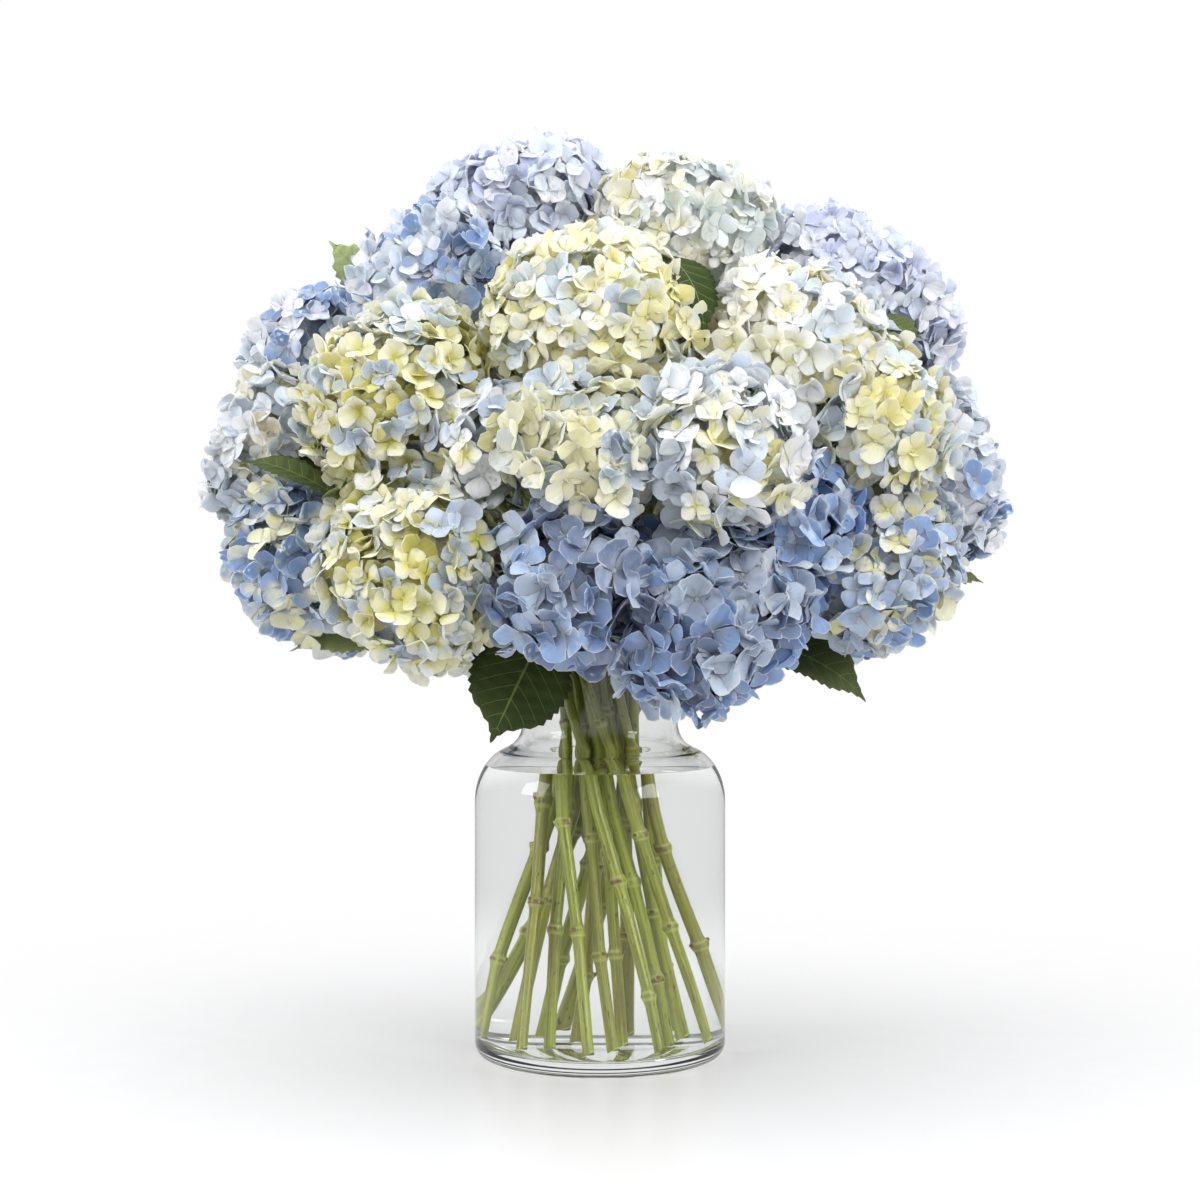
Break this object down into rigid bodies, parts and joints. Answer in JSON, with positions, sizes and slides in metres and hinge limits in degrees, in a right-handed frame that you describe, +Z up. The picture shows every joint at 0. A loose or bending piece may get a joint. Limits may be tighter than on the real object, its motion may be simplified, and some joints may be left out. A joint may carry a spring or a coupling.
{
  "type": "hydrangeas in a vase",
  "caption": "domed bouquet of cut hydrangea heads in blue, cream and lavender on green canes, standing in a clear glass jar vase with water",
  "frame": {"origin": "middle of the flat underside of the vase, on the surface it stands on", "axes": "+Z up along the vase; -Y is the front, the side seen in the picture; +X is the right of the picture"},
  "size_m": [0.4741, 0.4198, 0.5532],
  "materials": {
    "glass": "clear smooth glass",
    "water": "still water",
    "cane": "green stem and serrated leaf, slightly glossy",
    "petal_blue": "matte petal",
    "petal_pale": "matte petal",
    "petal_white": "matte petal",
    "petal_cream": "matte petal",
    "petal_lavender": "matte petal"
  },
  "bodies": {
    "root": {"cane_01": "cane", "cane_02": "cane", "cane_03": "cane", "cane_04": "cane", "cane_05": "cane", "cane_06": "cane", "cane_07": "cane", "cane_08": "cane", "cane_09": "cane", "cane_10": "cane", "cane_11": "cane", "cane_12": "cane", "cane_13": "cane", "cane_14": "cane", "cane_15": "cane", "cane_16": "cane", "cane_17": "cane", "cane_18": "cane", "head_back_left": "petal_blue", "head_back_low_left": "petal_blue", "head_back_low_right": "petal_cream", "head_back_lower_left": "petal_pale", "head_back_lower_right": "petal_blue", "head_back_middle_left": "petal_cream", "head_back_middle_right": "petal_blue", "head_back_right": "petal_pale", "head_back_top": "petal_lavender", "head_back_upper_left": "petal_pale", "head_back_upper_right": "petal_cream", "head_blue_far_right": "petal_blue", "head_blue_front_left": "petal_blue", "head_blue_front_right": "petal_blue", "head_blue_left": "petal_blue", "head_blue_lower_left": "petal_blue", "head_blue_small": "petal_blue", "head_blue_upper_left": "petal_blue", "head_cream_front": "petal_cream", "head_cream_left": "petal_cream", "head_cream_middle": "petal_cream", "head_cream_right": "petal_cream", "head_lavender_top": "petal_lavender", "head_lilac_right": "petal_lavender", "head_mixed_left": "petal_pale", "head_mixed_lower_right": "petal_white", "head_pale_middle": "petal_pale", "head_pale_small": "petal_pale", "head_pale_top": "petal_pale", "head_pale_upper_right": "petal_pale", "head_white_middle": "petal_white", "vase": "glass", "water": "water"}
  },
  "joints": []
}
